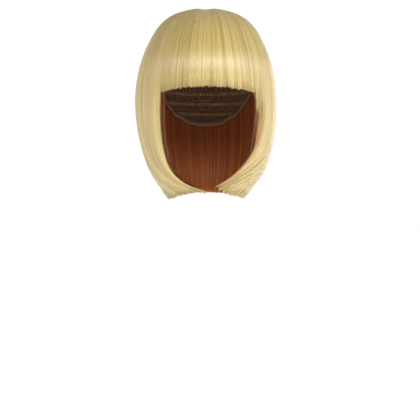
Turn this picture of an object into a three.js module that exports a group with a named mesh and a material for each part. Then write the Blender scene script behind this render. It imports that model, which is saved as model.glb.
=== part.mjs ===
import * as THREE from 'three';
import { mergeVertices } from 'three/addons/utils/BufferGeometryUtils.js';

// A straight bob wig as it is worn, in millimetres. +Z is up and the wearer faces -Y.
// The origin is where the top of the head bears on the inside of the cap.
// Angles are in degrees round the head: 0 at the front, 90 at the viewer's right, 180 at the back.

// The head that the wig fits
const headBreadth = 150;
const headLength = 190;
const headRise = 86;
const skullFall = 120;

// The cap, and the slack between it and the hair
const capThickness = 1.2;
const capSlack = 0.8;

// How far the hair stands off the cap on top, at the sides, in front and behind
const crownVolume = 10.8;
const sideVolume = 21.8;
const frontVolume = 7.8;
const backVolume = 22.8;
const crownSetback = 20;

// How far the hair falls below the top of the head
const hairFall = 257;
const fringeFall = 107;
const fringeCornerFall = 114;
const faceLockFall = 148;
const leftTipFall = 245;
const rightTipFall = 240;
const napeFall = 246;
const seamHemFall = 252;

// Where each section of hair begins and ends round the head, at its widest level
const fringeLeftAngle = 39;
const fringeRightAngle = 44.4;
const rightCurtainAngle = 51.5;
const backAngle = 128;

// The hair's own thickness and its locks
const hairDepth = 17;
const tipThickness = 2.4;
const underLayerDepth = 3.4;
const underLayerSlack = 0.7;
const underLayerLap = 6;
const underLayerTipRise = 7;
const lockRidge = 1.7;
const crownRidge = 0.8;
const tipNotch = 2.6;
const crownPatchRadius = 45;
const partingDepth = 2.4;
const partingWidth = 13;
const partingBehind = 40;
const partingAhead = 60;
const seamGap = 0.4;

const hairTop = capThickness + crownVolume;
const hairHeight = hairTop + hairFall;
const halfWidth = headBreadth / 2 + capThickness + sideVolume;
const frontReach = headLength / 2 + capThickness + frontVolume;
const backReach = headLength / 2 + capThickness + backVolume;

// The hair's outline from the crown to the hem. Each row is a level section of the wig:
// down is a share of hairHeight, side and lean of halfWidth, front of frontReach, back of backReach,
// middle of crownSetback and depth of hairDepth.
const outline = [
  { down: 0, side: 0, front: 0, back: 0, middle: 1, lean: 0.006, depth: 1 },
  { down: 0.013, side: 0.268, front: 0.346, back: 0.269, middle: 0.9, lean: 0.008, depth: 1 },
  { down: 0.046, side: 0.511, front: 0.577, back: 0.496, middle: 0.75, lean: 0.01, depth: 1 },
  { down: 0.106, side: 0.69, front: 0.788, back: 0.681, middle: 0.6, lean: 0.01, depth: 1 },
  { down: 0.186, side: 0.815, front: 0.933, back: 0.815, middle: 0.45, lean: 0.008, depth: 1 },
  { down: 0.264, side: 0.902, front: 1.005, back: 0.908, middle: 0.3, lean: 0.006, depth: 1 },
  { down: 0.353, side: 0.963, front: 1.034, back: 0.962, middle: 0.2, lean: 0.004, depth: 0.96 },
  { down: 0.454, side: 0.994, front: 1.01, back: 0.983, middle: 0.1, lean: 0.002, depth: 0.86 },
  { down: 0.554, side: 0.99, front: 0.971, back: 0.966, middle: 0, lean: 0.006, depth: 0.72 },
  { down: 0.654, side: 0.961, front: 0.933, back: 0.899, middle: 0, lean: 0.015, depth: 0.62 },
  { down: 0.755, side: 0.901, front: 0.875, back: 0.807, middle: 0, lean: 0.024, depth: 0.54 },
  { down: 0.848, side: 0.81, front: 0.788, back: 0.706, middle: 0, lean: 0.026, depth: 0.46 },
  { down: 0.929, side: 0.664, front: 0.692, back: 0.605, middle: 0, lean: 0.016, depth: 0.4 },
  { down: 1, side: 0.51, front: 0.606, back: 0.521, middle: 0, lean: 0, depth: 0.34 },
];

// How the hair fans out: a strand that hangs at the angle low leaves the crown at the angle top
const fan = [
  { low: 0, top: 0 },
  { low: 21, top: 38 },
  { low: 42, top: 68 },
  { low: 80, top: 102 },
  { low: 128, top: 139 },
  { low: 180, top: 180 },
];

// How the front edges of the curtains sweep in under the chin: down is a share of hairHeight,
// and turned is the share of the edge's own angle by which it has turned towards the middle.
// Both edges first drift a little outwards.
const leftSweep = [
  { down: 0.479, turned: 0 },
  { down: 0.564, turned: -0.03 },
  { down: 0.634, turned: -0.05 },
  { down: 0.735, turned: -0.08 },
  { down: 0.83, turned: -0.06 },
  { down: 0.894, turned: 0.1 },
  { down: 0.929, turned: 0.4 },
  { down: 0.951, turned: 0.76 },
  { down: 0.957, turned: 1.03 },
  { down: 1, turned: 1.03 },
];
const rightSweep = [
  { down: 0.479, turned: 0 },
  { down: 0.559, turned: -0.02 },
  { down: 0.629, turned: 0 },
  { down: 0.7, turned: 0.05 },
  { down: 0.769, turned: 0.15 },
  { down: 0.844, turned: 0.32 },
  { down: 0.902, turned: 0.55 },
  { down: 0.921, turned: 0.64 },
  { down: 0.945, turned: 0.68 },
  { down: 1, turned: 0.68 },
];

// The hems of the curtains from the front edge back: reach is the share of the way from the
// fall of the front tip (0) to the lowest fall of all (1)
const leftHem = [
  { across: 0, reach: 0 },
  { across: 0.11, reach: 0.22 },
  { across: 0.24, reach: 0.52 },
  { across: 0.4, reach: 0.88 },
  { across: 0.56, reach: 1 },
  { across: 0.8, reach: 0.94 },
];
const rightHem = [
  { across: 0, reach: 0 },
  { across: 0.04, reach: 0.4 },
  { across: 0.09, reach: 0.68 },
  { across: 0.2, reach: 0.82 },
  { across: 0.45, reach: 0.95 },
  { across: 0.65, reach: 1 },
  { across: 0.8, reach: 0.95 },
];

// The edge of the cap: fall is a share of headRise
const capEdge = [
  { around: 0, fall: 0.52 },
  { around: 30, fall: 0.55 },
  { around: 48, fall: 0.7 },
  { around: 62, fall: 1.0 },
  { around: 72, fall: 1.18 },
  { around: 82, fall: 1.08 },
  { around: 98, fall: 0.98 },
  { around: 118, fall: 1.2 },
  { around: 140, fall: 1.56 },
  { around: 160, fall: 1.7 },
  { around: 180, fall: 1.73 },
];

const radians = THREE.MathUtils.degToRad;
const { lerp, clamp, smoothstep } = THREE.MathUtils;

// Reads one column of a table at a value of another, with straight lines between the rows
function readTable(rows, key, column, at) {
  const last = rows.length - 1;
  let i = 0;
  while (i < last - 1 && rows[i + 1][key] < at) i += 1;
  const share = clamp((at - rows[i][key]) / (rows[i + 1][key] - rows[i][key]), 0, 1);
  return lerp(rows[i][column], rows[i + 1][column], share);
}

// Reads one column of the outline at a level, which counts the rows from 0 at the crown.
// The curve is smooth through the rows, and over the crown it mirrors itself.
function readOutline(column, level) {
  const last = outline.length - 1;
  const mirrored = ['side', 'front', 'back'].includes(column) ? -1 : 1;
  const row = (i) => {
    if (i < 0) return mirrored * outline[-i][column];
    if (i > last) return 2 * outline[last][column] - outline[2 * last - i][column];
    return outline[i][column];
  };
  const i = clamp(Math.floor(level), 0, last - 1);
  const u = level - i;
  const [a, b, c, d] = [row(i - 1), row(i), row(i + 1), row(i + 2)];
  return b + 0.5 * u * (c - a + u * (2 * a - 5 * b + 4 * c - d + u * (3 * (b - c) + d - a)));
}

// The level at which a column of the outline reaches a value
function levelWhere(column, value) {
  let low = 0;
  let high = outline.length - 1;
  for (let n = 0; n < 40; n += 1) {
    const middle = (low + high) / 2;
    if (readOutline(column, middle) < value) low = middle;
    else high = middle;
  }
  return low;
}

const levelOfFall = (fall) => levelWhere('down', (hairTop + fall) / hairHeight);
const crownLevel = levelWhere('side', crownPatchRadius / halfWidth);
const cornerLevel = levelOfFall(fringeCornerFall);
const levelStep = hairHeight / (outline.length - 1);
const sectionTopLevel = crownLevel + seamGap / 2 / levelStep;

// A point of the smooth outer envelope of the hair
function envelope(angle, level) {
  const turn = radians(angle);
  const side = halfWidth * readOutline('side', level);
  const ahead = Math.cos(turn);
  const reach = ahead > 0 ? frontReach * readOutline('front', level) : backReach * readOutline('back', level);
  return new THREE.Vector3(
    halfWidth * readOutline('lean', level) + side * Math.sin(turn),
    crownSetback * readOutline('middle', level) - reach * ahead,
    hairTop - hairHeight * readOutline('down', level),
  );
}

// The envelope's outward direction
function outward(angle, level) {
  const angleStep = 0.5;
  const levelNudge = 0.02;
  const safeLevel = Math.max(level, levelNudge * 2);
  const across = envelope(angle + angleStep, safeLevel).sub(envelope(angle - angleStep, safeLevel));
  const along = envelope(angle, safeLevel + levelNudge).sub(envelope(angle, safeLevel - levelNudge));
  return across.cross(along).normalize().negate();
}

// The half axes of the cap's outside, grown by some slack
function capAxes(slack, point) {
  const grown = capThickness + slack;
  const upright = point.z > -headRise ? headRise : skullFall;
  return new THREE.Vector3(headBreadth / 2 + grown, headLength / 2 + grown, upright + grown);
}

// How far the hair may reach inwards from a point before it meets the cap
function depthToCap(point, inward) {
  const axes = capAxes(capSlack, point);
  const start = new THREE.Vector3(point.x, point.y, point.z + headRise).divide(axes);
  const way = inward.clone().divide(axes);
  const a = way.dot(way);
  const b = start.dot(way);
  const c = start.dot(start) - 1;
  const inside = b * b - a * c;
  return inside > 0 && b < 0 ? (-b - Math.sqrt(inside)) / a : Infinity;
}

// A repeatable value from 0 to 1 for each whole number
function scatter(n) {
  const wave = Math.sin(n * 12.9898 + 4.137) * 43758.5453;
  return wave - Math.floor(wave);
}

// The angle at which a strand that hangs at the angle low lies at a level
function fanned(low, level) {
  const side = Math.sign(low);
  const fanEndLevel = 5.4;
  const top = side * readTable(fan, 'low', 'top', Math.abs(low));
  return lerp(top, low, smoothstep(level, crownLevel, fanEndLevel));
}

// The share of the lock's ridge at each of its points, and of the notch at its tip
const lockProfile = [
  { ridge: 0, notch: 1 },
  { ridge: 0.72, notch: 0.3 },
  { ridge: 1, notch: 0 },
  { ridge: 0.66, notch: 0.4 },
];

// The columns of a section of hair: each lock has as many as its profile, and locks vary in width
function lockColumns(locks, seed, free) {
  const columns = [];
  for (let lock = 0; lock < locks; lock += 1) {
    const edge = (n) => (n + (n > 0 && n < locks ? 0.36 * (scatter(seed + n) - 0.5) : 0)) / locks;
    lockProfile.forEach((point, k) => {
      const share = k / lockProfile.length;
      const height = 0.7 + 0.6 * scatter(seed + 31 + lock);
      columns.push({
        across: lerp(edge(lock), edge(lock + 1), share),
        ridge: point.ridge * height,
        notch: point.notch * (0.6 + 0.8 * scatter(seed + 67 + lock)),
      });
    });
  }
  columns.push({ across: 1, ridge: 0, notch: lockProfile[0].notch });
  columns[0].notch = free ? 0 : lockProfile[0].notch;
  return columns;
}

// Closes a shell between an outer grid of points and an inner one that has a column for each lock.
// Where the columns go right round the head, wrap joins the last to the first.
function closedShell(outer, inner, wrap) {
  const points = [];
  const triangle = (a, b, c) => points.push(a, b, c);
  const quad = (a, b, c, d) => {
    triangle(a, b, c);
    triangle(a, c, d);
  };
  const rows = outer.length - 1;
  const across = outer[0].length - 1;
  const coarse = inner[0].length - 1;
  const split = across / coarse;
  for (let i = 0; i < rows; i += 1) {
    for (let j = 0; j < across; j += 1) quad(outer[i][j], outer[i + 1][j], outer[i + 1][j + 1], outer[i][j + 1]);
    for (let k = 0; k < coarse; k += 1) quad(inner[i][k], inner[i][k + 1], inner[i + 1][k + 1], inner[i + 1][k]);
    if (!wrap) {
      quad(outer[i][0], inner[i][0], inner[i + 1][0], outer[i + 1][0]);
      quad(outer[i][across], outer[i + 1][across], inner[i + 1][coarse], inner[i][coarse]);
    }
  }
  // Each inner edge meets the outer edges of its lock in a fan
  const half = Math.floor(split / 2);
  for (let k = 0; k < coarse; k += 1) {
    for (let j = 0; j < split; j += 1) {
      const at = k * split + j;
      const near = j < half ? k : k + 1;
      triangle(inner[0][near], outer[0][at], outer[0][at + 1]);
      triangle(inner[rows][near], outer[rows][at + 1], outer[rows][at]);
    }
    triangle(inner[0][k], outer[0][k * split + half], inner[0][k + 1]);
    triangle(inner[rows][k + 1], outer[rows][k * split + half], inner[rows][k]);
  }
  return weld(points);
}

// Merges the shared corners, leaves out the flat triangles, and turns the faces outwards
function weld(points) {
  const soup = new THREE.BufferGeometry().setFromPoints(points);
  const merged = mergeVertices(soup, 1e-3);
  const kept = [];
  let volume = 0;
  const corner = (n) => new THREE.Vector3().fromBufferAttribute(merged.attributes.position, n);
  for (let i = 0; i < merged.index.count; i += 3) {
    const [a, b, c] = [0, 1, 2].map((k) => merged.index.getX(i + k));
    if (a !== b && b !== c && c !== a) {
      kept.push([a, b, c]);
      volume += corner(a).dot(corner(b).cross(corner(c)));
    }
  }
  merged.setIndex(kept.flatMap(([a, b, c]) => (volume > 0 ? [a, b, c] : [a, c, b])));
  merged.computeVertexNormals();
  return merged;
}

// How much of its depth the hair keeps towards a strand's end, and towards a free front edge
const tipTaperFrom = 0.8;
const freeEdgeShare = 0.3;
const freeEdgeKeeps = 0.2;

// The thickness of a section at a point. It fills the space down to the cap, hangs at its own depth
// below that, thins towards a free front edge and comes to tipThickness at the hem.
function thicknessAt(across, along, level, skin, out, free) {
  const full = Math.min(depthToCap(skin, out.clone().negate()), hairDepth * readOutline('depth', level));
  const edge = free ? smoothstep(across, 0, freeEdgeShare) : 1;
  const lowered = smoothstep(level, cornerLevel - 1.6, cornerLevel);
  const kept = full * lerp(1, lerp(freeEdgeKeeps, 1, edge), lowered);
  return lerp(kept, Math.min(tipThickness, full), smoothstep(along, tipTaperFrom, 1));
}

// Builds a section of hair. angleAt(across, level) and endLevelAt(across) say how its strands run,
// and a section that lies under another one says with coverAt how deep it lies.
function hairSection(section) {
  const { locks, seed, upperRows, lowerRows, angleAt, endLevelAt, free = false } = section;
  const { startLevel = sectionTopLevel, ridgeShare = 1, coverAt = () => 0 } = section;
  const columns = lockColumns(locks, seed, free);
  const rows = upperRows + lowerRows;
  const outer = [];
  const inner = [];
  for (let i = 0; i <= rows; i += 1) {
    outer.push([]);
    inner.push([]);
    columns.forEach((column, j) => {
      const hem = endLevelAt(column.across) - (column.notch * tipNotch) / levelStep;
      const upperEnd = lowerRows ? cornerLevel : hem;
      const level = i <= upperRows
        ? lerp(startLevel, upperEnd, i / upperRows)
        : lerp(upperEnd, hem, (i - upperRows) / lowerRows);
      const angle = angleAt(column.across, level);
      const skin = envelope(angle, level);
      const out = outward(angle, level);
      const along = (level - startLevel) / (hem - startLevel);
      const ridge = ridgeShare * lockRidge * column.ridge * smoothstep(along, 0, 0.25) * (1 - 0.35 * along);
      const cover = coverAt(column.across, level, skin, out);
      const thickness = section.depth ?? thicknessAt(column.across, along, level, skin, out, free);
      outer[i].push(skin.clone().addScaledVector(out, ridge - cover));
      if (j % lockProfile.length === 0) inner[i].push(skin.clone().addScaledVector(out, -cover - thickness));
    });
  }
  return closedShell(outer, inner, false);
}

// Half the gap at a seam, as an angle at a level
function seamAngle(level) {
  const girth = 2 * Math.PI * Math.max(halfWidth * readOutline('side', level), crownPatchRadius / 2);
  return (seamGap / 2 / girth) * 360;
}

function crown() {
  const locks = 24;
  const pointsPerLock = 3;
  const rows = 5;
  const edgeLevel = crownLevel - seamGap / 2 / levelStep;
  const outer = [];
  const inner = [];
  for (let i = 0; i <= rows; i += 1) {
    const level = (edgeLevel * i) / rows;
    const share = i / rows;
    outer.push([]);
    inner.push([]);
    for (let j = 0; j <= locks * pointsPerLock; j += 1) {
      const angle = (360 * (j % (locks * pointsPerLock))) / (locks * pointsPerLock);
      const skin = envelope(angle, level);
      const out = i === 0 ? new THREE.Vector3(0, 0, 1) : outward(angle, level);
      const lift = j % pointsPerLock === 0 ? 0 : crownRidge * 4 * share * (1 - share);
      const ahead = crownSetback - skin.y;
      const along = smoothstep(ahead, -partingBehind, -partingBehind / 2) * (1 - smoothstep(ahead, partingAhead / 2, partingAhead));
      const dent = partingDepth * along * (1 - smoothstep(Math.abs(skin.x), 0, partingWidth));
      outer[i].push(skin.clone().addScaledVector(out, lift * (i < rows ? 1 : 0) - dent));
      const thickness = thicknessAt(1, 0, level, skin, out, false);
      if (j % pointsPerLock === 0) inner[i].push(skin.clone().addScaledVector(out, -thickness));
    }
  }
  return closedShell(outer, inner, true);
}

function fringe() {
  return hairSection({
    locks: 13,
    seed: 3,
    upperRows: 9,
    lowerRows: 0,
    angleAt: (across, level) => {
      const gap = seamAngle(level);
      return lerp(fanned(-fringeLeftAngle, level) + gap, fanned(fringeRightAngle, level) - gap, across);
    },
    endLevelAt: (across) => {
      const corner = Math.pow(Math.abs(2 * across - 1), 2.4);
      return levelOfFall(lerp(fringeFall, fringeCornerFall, corner));
    },
  });
}

function rightFaceLock() {
  const narrowing = 2;
  return hairSection({
    locks: 2,
    seed: 11,
    upperRows: 9,
    lowerRows: 3,
    angleAt: (across, level) => {
      const gap = seamAngle(level);
      const outerEdge = rightCurtainAngle - narrowing * smoothstep(level, cornerLevel - 0.1, cornerLevel + 1);
      return lerp(fanned(fringeRightAngle, level) + gap, fanned(outerEdge, level) - gap, across);
    },
    endLevelAt: (across) => levelOfFall(lerp(fringeCornerFall, faceLockFall, Math.sqrt(0.25 + 0.75 * across))),
  });
}

// A curtain's strands: the front edge sweeps in, and the strands behind it follow less and less
function curtainAngle(side, edgeAngle, sweep, across, level) {
  const hanging = lerp(edgeAngle, backAngle, across);
  const down = readOutline('down', level);
  const turned = edgeAngle * readTable(sweep, 'down', 'turned', down) * Math.pow(1 - across, 1.3);
  const low = hanging - turned;
  const gap = seamAngle(level) * (1 - 2 * across);
  return side * (fanned(low, level) + gap);
}

function hemLevel(hem, tipFall, across) {
  const fall = lerp(tipFall, hairFall, readTable(hem, 'across', 'reach', across));
  const last = hem[hem.length - 1];
  const joining = clamp((across - last.across) / (1 - last.across), 0, 1);
  return levelOfFall(lerp(fall, seamHemFall, joining));
}

function curtain(side, edgeAngle, sweep, hem, tipFall, seed) {
  return hairSection({
    locks: 10,
    seed,
    upperRows: 9,
    lowerRows: 9,
    free: true,
    angleAt: (across, level) => curtainAngle(side, edgeAngle, sweep, across, level),
    endLevelAt: (across) => hemLevel(hem, tipFall, across),
  });
}

// The layer inside the left curtain, whose front edge shows past the curtain's own
function leftUnderLayer() {
  const aheadOfCurtain = 2.8;
  const coveredShare = 0.45;
  const ridgeShare = 0.4;
  const tallestRidge = 1.3;
  const depthUnder = underLayerSlack + ridgeShare * tallestRidge * lockRidge;
  const lowestCapEdge = headRise * Math.max(...capEdge.filter((row) => row.around < 120).map((row) => row.fall));
  const startFall = Math.max(fringeCornerFall - underLayerLap, lowestCapEdge + underLayerSlack + underLayerDepth);
  const hemAt = (across) => hemLevel(leftHem, leftTipFall, across * coveredShare);
  return hairSection({
    locks: 4,
    seed: 57,
    upperRows: 9,
    lowerRows: 0,
    startLevel: levelOfFall(startFall),
    depth: underLayerDepth,
    ridgeShare,
    coverAt: (across, level, skin, out) => {
      const along = (level - sectionTopLevel) / (hemAt(across) - sectionTopLevel);
      return thicknessAt(across * coveredShare, along, level, skin, out, true) + depthUnder;
    },
    angleAt: (across, level) => {
      const ahead = aheadOfCurtain * smoothstep(level, cornerLevel, cornerLevel + 2) * (1 - across);
      return curtainAngle(-1, fringeLeftAngle, leftSweep, across * coveredShare, level) + ahead;
    },
    endLevelAt: (across) => hemAt(across) - underLayerTipRise / levelStep,
  });
}

function backHair() {
  const nape = (across) => 1 - Math.pow(Math.abs(2 * across - 1), 2);
  return hairSection({
    locks: 14,
    seed: 83,
    upperRows: 9,
    lowerRows: 9,
    angleAt: (across, level) => {
      const edge = fanned(backAngle, level) + seamAngle(level);
      return lerp(edge, 360 - edge, across);
    },
    endLevelAt: (across) => levelOfFall(lerp(seamHemFall, napeFall, nape(across))),
  });
}

// The cap is the upper skull, cut off along the hairline, round the ears and at the nape
function cap() {
  const columns = 40;
  const rows = 9;
  const skull = (angle, polar, thickness) => {
    const turn = radians(angle);
    const upright = Math.cos(polar) > 0 ? headRise : skullFall;
    return new THREE.Vector3(
      (headBreadth / 2 + thickness) * Math.sin(polar) * Math.sin(turn),
      -(headLength / 2 + thickness) * Math.sin(polar) * Math.cos(turn),
      -headRise + (upright + thickness) * Math.cos(polar),
    );
  };
  const outer = [];
  const inner = [];
  for (let i = 0; i <= rows; i += 1) {
    outer.push([]);
    inner.push([]);
    for (let j = 0; j <= columns; j += 1) {
      const angle = (360 * (j % columns)) / columns;
      const fall = headRise * readTable(capEdge, 'around', 'fall', angle > 180 ? 360 - angle : angle);
      const upright = fall < headRise ? headRise : skullFall;
      const polar = (Math.acos((headRise - fall) / upright) * i) / rows;
      outer[i].push(skull(angle, polar, capThickness));
      inner[i].push(skull(angle, polar, 0));
    }
  }
  return closedShell(outer, inner, true);
}

const blonde = { color: 0xe3cd82, roughness: 0.42, metalness: 0 };
const amber = { color: 0xb98a4a, roughness: 0.55, metalness: 0 };
const net = { color: 0x9c7f5c, roughness: 0.9, metalness: 0 };

function piece(name, geometry, look) {
  const mesh = new THREE.Mesh(geometry, new THREE.MeshStandardMaterial(look));
  mesh.name = name;
  return mesh;
}

const wig = new THREE.Group();
wig.add(
  piece('cap', cap(), net),
  piece('crown', crown(), blonde),
  piece('fringe', fringe(), blonde),
  piece('right_face_lock', rightFaceLock(), blonde),
  piece('left_curtain', curtain(-1, fringeLeftAngle, leftSweep, leftHem, leftTipFall, 19), blonde),
  piece('right_curtain', curtain(1, rightCurtainAngle, rightSweep, rightHem, rightTipFall, 41), blonde),
  piece('left_under_layer', leftUnderLayer(), amber),
  piece('back_hair', backHair(), blonde),
);

export default wig;
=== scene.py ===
import math

import bpy
import numpy as np
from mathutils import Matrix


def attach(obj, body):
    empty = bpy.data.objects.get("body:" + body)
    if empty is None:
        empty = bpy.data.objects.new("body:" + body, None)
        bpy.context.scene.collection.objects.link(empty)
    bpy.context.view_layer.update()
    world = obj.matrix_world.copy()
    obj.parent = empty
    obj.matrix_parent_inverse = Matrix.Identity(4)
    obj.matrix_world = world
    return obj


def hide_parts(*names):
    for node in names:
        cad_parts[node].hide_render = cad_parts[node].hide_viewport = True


# A straight bob wig, dressed over its solid sections. Sizes are in millimetres until the mesh is made.
# The wearer faces -Y. Angles are in degrees round the head: 0 in front, 90 at the viewer's right.

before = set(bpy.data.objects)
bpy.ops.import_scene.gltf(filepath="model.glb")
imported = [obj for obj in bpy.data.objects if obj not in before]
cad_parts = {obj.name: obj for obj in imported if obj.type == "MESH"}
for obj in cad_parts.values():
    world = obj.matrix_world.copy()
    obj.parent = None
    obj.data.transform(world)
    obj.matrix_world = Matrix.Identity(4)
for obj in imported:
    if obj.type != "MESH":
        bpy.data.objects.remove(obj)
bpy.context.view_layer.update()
print("frame loaded:", len(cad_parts), "solids")

millimetre = 0.001

# The form of the hair, with the same rows as the solid sections have

wigForm = {
    "hairTop": 12.0,
    "height": 269.0,
    "halfWidth": 98.0,
    "frontReach": 104.0,
    "backReach": 119.0,
    "crownSetback": 20.0,
    "crownPatch": 45.0,  # radius of the crown section
    "cornerFall": 114.0,  # how far the fringe's corners fall
    "hairDepth": 17.0,
    "tipThickness": 2.4,
    "fanEndLevel": 5.4,
    "down": [0, 0.013, 0.046, 0.106, 0.186, 0.264, 0.353, 0.454, 0.554, 0.654, 0.755, 0.848, 0.929, 1],
    "side": [0, 0.268, 0.511, 0.69, 0.815, 0.902, 0.963, 0.994, 0.99, 0.961, 0.901, 0.81, 0.664, 0.51],
    "front": [0, 0.346, 0.577, 0.788, 0.933, 1.005, 1.034, 1.01, 0.971, 0.933, 0.875, 0.788, 0.692, 0.606],
    "back": [0, 0.269, 0.496, 0.681, 0.815, 0.908, 0.962, 0.983, 0.966, 0.899, 0.807, 0.706, 0.605, 0.521],
    "middle": [1, 0.9, 0.75, 0.6, 0.45, 0.3, 0.2, 0.1, 0, 0, 0, 0, 0, 0],
    "lean": [0.006, 0.008, 0.01, 0.01, 0.008, 0.006, 0.004, 0.002, 0.006, 0.015, 0.024, 0.026, 0.016, 0],
    "depth": [1, 1, 1, 1, 1, 1, 0.96, 0.86, 0.72, 0.62, 0.54, 0.46, 0.4, 0.34],
    "fanLow": [0, 21, 42, 80, 128, 180],
    "fanTop": [0, 38, 68, 102, 139, 180],
}

headForm = {
    "breadth": 150.0,
    "length": 190.0,
    "rise": 86.0,
    "fall": 120.0,
    "capThickness": 1.2,
    "capSlack": 0.8,
}

levelStep = wigForm["height"] / (len(wigForm["down"]) - 1)


def smoothstep(value, low, high):
    share = np.clip((value - low) / (high - low), 0, 1)
    return share * share * (3 - 2 * share)


def formAt(column, level):
    rows = np.array(wigForm[column], float)
    mirror = -1 if column in ("side", "front", "back") else 1
    padded = np.concatenate([[mirror * rows[1]], rows, [2 * rows[-1] - rows[-2]]])
    i = np.clip(np.floor(level), 0, len(rows) - 2).astype(int)
    u = level - i
    a, b, c, d = padded[i], padded[i + 1], padded[i + 2], padded[i + 3]
    return b + 0.5 * u * (c - a + u * (2 * a - 5 * b + 4 * c - d + u * (3 * (b - c) + d - a)))


fineLevels = np.linspace(0, len(wigForm["down"]) - 1, 2601)
fineFalls = wigForm["height"] * formAt("down", fineLevels) - wigForm["hairTop"]
fineSides = wigForm["halfWidth"] * formAt("side", fineLevels)


def levelOfFall(fall):
    return np.interp(fall, fineFalls, fineLevels)


widest = int(np.argmax(fineSides))
crownLevel = float(np.interp(wigForm["crownPatch"], fineSides[:widest], fineLevels[:widest]))
cornerLevel = float(levelOfFall(wigForm["cornerFall"]))


def envelope(angle, level):
    turn = np.radians(angle)
    ahead = np.cos(turn)
    reach = np.where(
        ahead > 0,
        wigForm["frontReach"] * formAt("front", level),
        wigForm["backReach"] * formAt("back", level),
    )
    side = wigForm["halfWidth"] * formAt("side", level)
    x = wigForm["halfWidth"] * formAt("lean", level) + side * np.sin(turn)
    y = wigForm["crownSetback"] * formAt("middle", level) - reach * ahead
    z = wigForm["hairTop"] - wigForm["height"] * formAt("down", level)
    return np.stack([x, y, z], axis=-1)


def unit(vectors):
    return vectors / np.maximum(np.linalg.norm(vectors, axis=-1, keepdims=True), 1e-9)


def outward(angle, level):
    safe = np.maximum(level, 0.04)
    across = envelope(angle + 0.5, safe) - envelope(angle - 0.5, safe)
    along = envelope(angle, safe + 0.02) - envelope(angle, safe - 0.02)
    return -unit(np.cross(across, along))


def depthToCap(point, inward):
    grown = headForm["capThickness"] + headForm["capSlack"]
    upright = np.where(point[..., 2] > -headForm["rise"], headForm["rise"], headForm["fall"]) + grown
    axes = np.stack(
        [
            np.full_like(upright, headForm["breadth"] / 2 + grown),
            np.full_like(upright, headForm["length"] / 2 + grown),
            upright,
        ],
        axis=-1,
    )
    start = (point + np.array([0, 0, headForm["rise"]])) / axes
    way = inward / axes
    a = (way * way).sum(-1)
    b = (start * way).sum(-1)
    c = (start * start).sum(-1) - 1
    inside = b * b - a * c
    meets = (inside > 0) & (b < 0)
    return np.where(meets, (-b - np.sqrt(np.maximum(inside, 0))) / a, 1e6)


# How the hair runs: a strand is known by the angle at which it would hang straight down

curtains = {
    "left": {
        "edge": 39.0,
        "down": [0.479, 0.564, 0.634, 0.735, 0.83, 0.894, 0.929, 0.951, 0.957, 1],
        "turned": [0, -0.03, -0.05, -0.08, -0.06, 0.1, 0.4, 0.76, 1.0, 1.15],
    },
    "right": {
        "edge": 51.5,
        "down": [0.479, 0.559, 0.629, 0.7, 0.769, 0.844, 0.902, 0.915, 0.925, 0.94, 1],
        "turned": [0, -0.02, 0, 0.05, 0.15, 0.32, 0.55, 0.63, 0.73, 0.82, 0.85],
    },
    "backAngle": 128.0,
    "fade": 1.3,  # how fast the sweep dies out toward the back
    "gatherFrom": 0.72, "gatherOver": 0.25,  # shares of the wig's height
}


def strandAngle(strand, level, sweep=None):
    if not sweep:
        return strand
    curtain = curtains[sweep]
    size = np.abs(strand)
    across = np.clip((size - curtain["edge"]) / (curtains["backAngle"] - curtain["edge"]), 0, 1)
    turned = np.interp(formAt("down", level), curtain["down"], curtain["turned"])
    return np.sign(strand) * (size - curtain["edge"] * turned * (1 - across) ** curtains["fade"])


# A section is wider at the crown than the strands that hang from it, so its sides fan out there

def fannedOut(strand, level):
    past = np.where(strand > 180, 360.0, 0.0)
    turned = strand - past
    top = np.sign(turned) * np.interp(np.abs(turned), wigForm["fanLow"], wigForm["fanTop"]) + past
    blend = smoothstep(level, crownLevel, wigForm["fanEndLevel"])
    return top * (1 - blend) + strand * blend


# Low, soft ridges along the strands, which flatten out at the whorl

relief = {
    "cells": [12.0, 4.2, 1.7],  # degrees round the head
    "heights": [0.4, 0.11, 0.06],
    "drift": [5.0, 3.5, 2.5],  # levels
    "rise": 0.9,
    "whorlLevels": 7,
    "whorlShare": 0.7,
    "seed": 5,
}


def ripple(strand, level, cell, drift, seed):
    count = int(round(360 / cell))
    rows = 12
    lattice = np.random.default_rng(seed).random((rows, count)) * 2 - 1
    x = (strand + 180) / 360 * count
    y = np.clip(level, 0, 14) / drift
    i, j = np.floor(x).astype(int), np.floor(y).astype(int)
    f, g = x - i, y - j
    f, g = f * f * (3 - 2 * f), g * g * (3 - 2 * g)
    pick = lambda di, dj: lattice[(j + dj) % rows, (i + di) % count]
    near = pick(0, 0) * (1 - f) + pick(1, 0) * f
    far = pick(0, 1) * (1 - f) + pick(1, 1) * f
    return near * (1 - g) + far * g


def reliefAt(strand, level):
    total = relief["rise"]
    for n, (cell, height, drift) in enumerate(zip(relief["cells"], relief["heights"], relief["drift"])):
        total = total + height * ripple(strand, level, cell, drift, relief["seed"] + n)
    spread = formAt("side", np.clip(level, 0, relief["whorlLevels"]))
    return total * smoothstep(spread, 0, relief["whorlShare"])


parting = {"depth": 2.4, "width": 13.0, "behind": 40.0, "ahead": 60.0, "lowest": -20.0}


def dentAt(point):
    ahead = wigForm["crownSetback"] - point[..., 1]
    along = smoothstep(ahead, -parting["behind"], -parting["behind"] / 2)
    along = along * (1 - smoothstep(ahead, parting["ahead"] / 2, parting["ahead"]))
    high = smoothstep(point[..., 2], parting["lowest"], 0)
    near = 1 - smoothstep(np.abs(point[..., 0]), 0, parting["width"])
    return parting["depth"] * along * high * near


def surface(strand, level, lift, sweep=None):
    angle = strandAngle(strand, level, sweep)
    skin = envelope(angle, level)
    out = outward(angle, level)
    height = lift + reliefAt(strand, level) - dentAt(skin)
    return skin + out * height[..., None], out


# The thickness of a section: full over the cap, thin at its tips and along a free edge

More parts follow.
